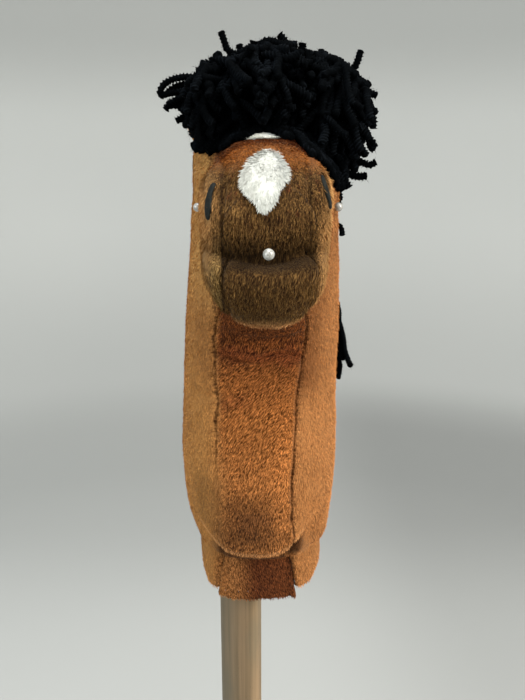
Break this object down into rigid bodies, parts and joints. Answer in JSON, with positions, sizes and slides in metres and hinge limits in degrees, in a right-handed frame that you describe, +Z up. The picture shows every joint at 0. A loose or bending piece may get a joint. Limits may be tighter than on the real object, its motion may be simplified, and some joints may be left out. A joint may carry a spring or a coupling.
{
  "type": "hobby horse",
  "caption": "Stuffed plush horse head with yarn forelock and mane, pushed onto a round wooden riding stick, with pearl-headed pins.",
  "frame": {"origin": "centre of the flat sawn face at the stick's lower end", "axes": "+Z up along the stick; the horse looks along -Y; +X is to the viewer's right in the picture, the horse's own left, and left and right in node names are the viewer's"},
  "size_m": [0.1034, 0.194, 0.8874],
  "materials": {
    "wood": "bare sanded hardwood",
    "plush": "short chestnut pile",
    "white_plush": "white pile, longer than the chestnut",
    "wadding": "loose white fibre",
    "slate_patch": "smooth dark grey sheet",
    "tape": "woven black tape",
    "yarn": "thick black plied yarn",
    "pearl": "pearly white",
    "pin_steel": "polished wire"
  },
  "bodies": {
    "stick": {"stick": "wood"},
    "head": {"left_side_panel": "plush", "right_side_panel": "plush", "nose_gusset": "plush", "throat_gusset": "plush", "head_stuffing": "wadding", "neck_stuffing": "wadding", "nose_snip": "white_plush", "forehead_star": "white_plush", "left_nostril": "slate_patch", "right_nostril": "slate_patch", "left_eye": "slate_patch", "right_eye": "slate_patch", "left_ear": "plush", "right_ear": "plush", "mane_tape": "tape", "forelock_left": "yarn", "forelock_middle": "yarn", "forelock_right": "yarn", "mane_upper": "yarn", "mane_middle": "yarn", "mane_lower": "yarn"},
    "front_pin": {"front_pin_pearl": "pearl", "front_pin_shaft": "pin_steel"},
    "left_pin": {"left_pin_pearl": "pearl", "left_pin_shaft": "pin_steel"},
    "right_pin": {"right_pin_pearl": "pearl", "right_pin_shaft": "pin_steel"}
  },
  "joints": [
    {"name": "head_lift", "type": "slide", "parent": "stick", "child": "head", "axis": [0, 0, 1], "range_m": [0, 0.2]},
    {"name": "front_pin_pull", "type": "slide", "parent": "head", "child": "front_pin", "axis": [0, -1, 0], "range_m": [0, 0.028]},
    {"name": "left_pin_pull", "type": "slide", "parent": "head", "child": "left_pin", "axis": [-1, 0, 0], "range_m": [0, 0.028]},
    {"name": "right_pin_pull", "type": "slide", "parent": "head", "child": "right_pin", "axis": [1, 0, 0], "range_m": [0, 0.028]}
  ]
}
